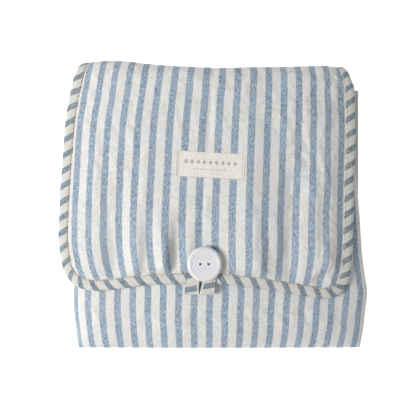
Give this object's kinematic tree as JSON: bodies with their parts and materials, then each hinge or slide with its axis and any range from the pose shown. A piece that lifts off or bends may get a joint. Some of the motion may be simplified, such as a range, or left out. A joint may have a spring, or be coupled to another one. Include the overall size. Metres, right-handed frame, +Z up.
{
  "type": "baby wrap sling in its cloth pouch",
  "caption": "Folded baby wrap sling in a padded striped cloth pouch with a bias-bound flap that a tab with a buttonhole slit holds shut over a two-hole button.",
  "frame": {"origin": "middle of the pack's base, which is the pouch's back lying on a surface", "axes": "+Z up out of the front, +Y towards the flap's fold, +X to the right of the front"},
  "size_m": [0.2619, 0.243, 0.0497],
  "materials": {
    "stripe_cloth": "plain-woven ticking, slate blue stripes on cream, slightly slubbed",
    "binding_cloth": "the same ticking cut on the bias, pressed",
    "lining_cloth": "plain cream cotton, matt",
    "wadding": "lofted fibre wadding",
    "thread": "cream and beige sewing thread",
    "label_tape": "dense woven tape with a plain geometric border",
    "button_shell": "turned, off-white, semi-gloss, with fine rings",
    "wrap_weave": "soft diagonal-woven cotton, sand"
  },
  "bodies": {
    "pouch": {"back_outer": "stripe_cloth", "back_wadding": "wadding", "back_lining": "lining_cloth", "front_outer": "stripe_cloth", "front_wadding": "wadding", "front_lining": "lining_cloth", "mouth_binding": "binding_cloth", "side_seam_left": "lining_cloth", "side_seam_right": "lining_cloth", "wrap_cloth": "wrap_weave", "tab_anchor": "binding_cloth", "tab_anchor_stitches": "thread"},
    "spine": {"spine_outer": "stripe_cloth", "spine_wadding": "wadding", "spine_lining": "lining_cloth"},
    "flap": {"flap_outer": "stripe_cloth", "flap_wadding": "wadding", "flap_lining": "lining_cloth", "flap_binding": "binding_cloth", "binding_topstitch": "thread", "label": "label_tape", "label_stitches": "thread", "button_patch": "lining_cloth", "button_shank": "thread"},
    "button": {"button": "button_shell", "button_thread": "thread"},
    "tab": {"tab": "binding_cloth", "buttonhole_stitches": "thread"}
  },
  "joints": [
    {"name": "spine_fold", "type": "hinge", "parent": "pouch", "child": "spine", "pos_m": [0, 0.1196, 0.0019], "axis": [-1, 0, 0], "range_deg": [0, 90]},
    {"name": "flap_fold", "type": "hinge", "parent": "spine", "child": "flap", "pos_m": [0, 0.1196, 0.0396], "axis": [-1, 0, 0], "range_deg": [0, 87]},
    {"name": "button_tilt", "type": "hinge", "parent": "flap", "child": "button", "pos_m": [-0.0062, -0.0477, 0.045], "axis": [1, 0, 0], "range_deg": [-9, 9], "stiffness_Nm_per_rad": 0.002},
    {"name": "tab_turn", "type": "hinge", "parent": "pouch", "child": "tab", "pos_m": [-0.0104, -0.0715, 0.0403], "axis": [1, 0, 0], "range_deg": [0, 175], "deforming": ["tab", "buttonhole_stitches"]}
  ],
  "couplings": [
    {"joint": "flap_fold", "follows": "spine_fold", "ratio": 0.9666}
  ]
}
